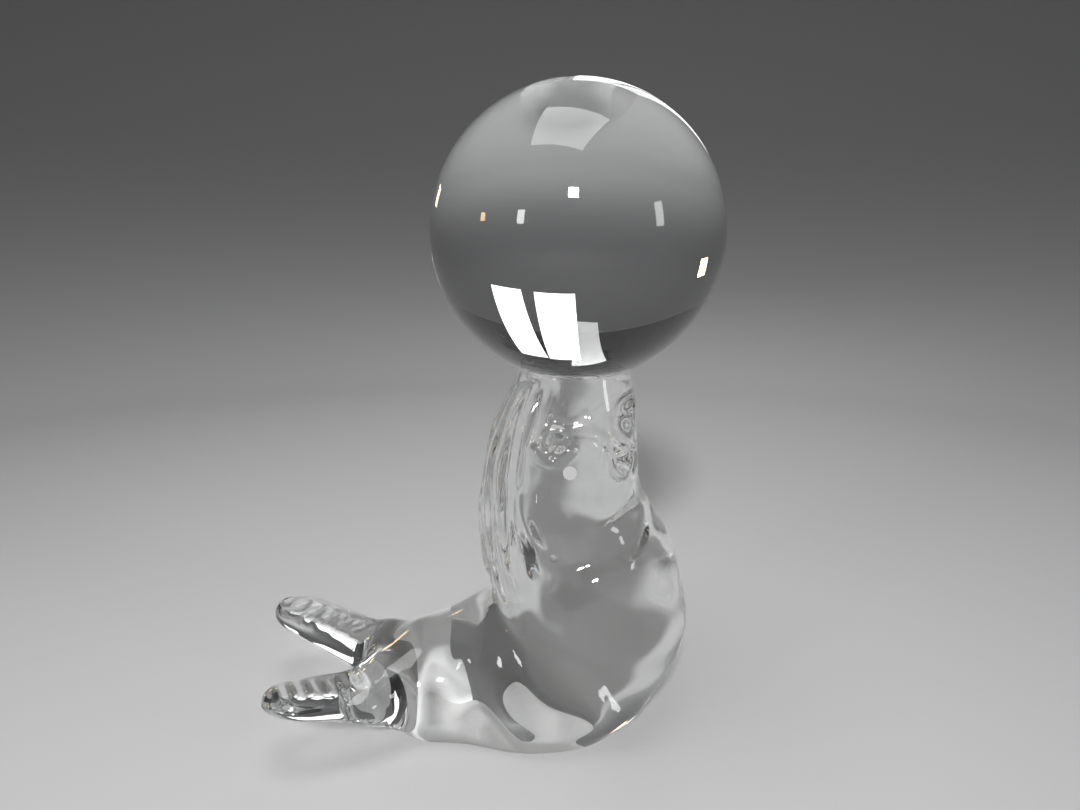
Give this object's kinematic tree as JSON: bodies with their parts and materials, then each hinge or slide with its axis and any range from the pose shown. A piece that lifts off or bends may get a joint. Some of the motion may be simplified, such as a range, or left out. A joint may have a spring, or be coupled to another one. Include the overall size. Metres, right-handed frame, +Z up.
{
  "type": "seal figurine",
  "caption": "Solid clear crystal seal resting on its haunch, spread hind flippers behind, a large glass ball balanced on the raised nose.",
  "frame": {"origin": "on the plane of the ground base, under the middle of the figure's overall length and width", "axes": "+Z up, +X towards the chest, tail and hind flippers towards -X, the turned face towards -Y"},
  "size_m": [0.1066, 0.062, 0.1433],
  "materials": {
    "body_crystal": "fire-polished clear crystal with a matt-ground base",
    "ball_crystal": "polished clear crystal",
    "flipper_crystal": "fire-polished clear crystal, crimped on top"
  },
  "bodies": {
    "root": {"body": "body_crystal", "ball": "ball_crystal", "right_hind_flipper": "flipper_crystal", "left_hind_flipper": "flipper_crystal"}
  },
  "joints": []
}
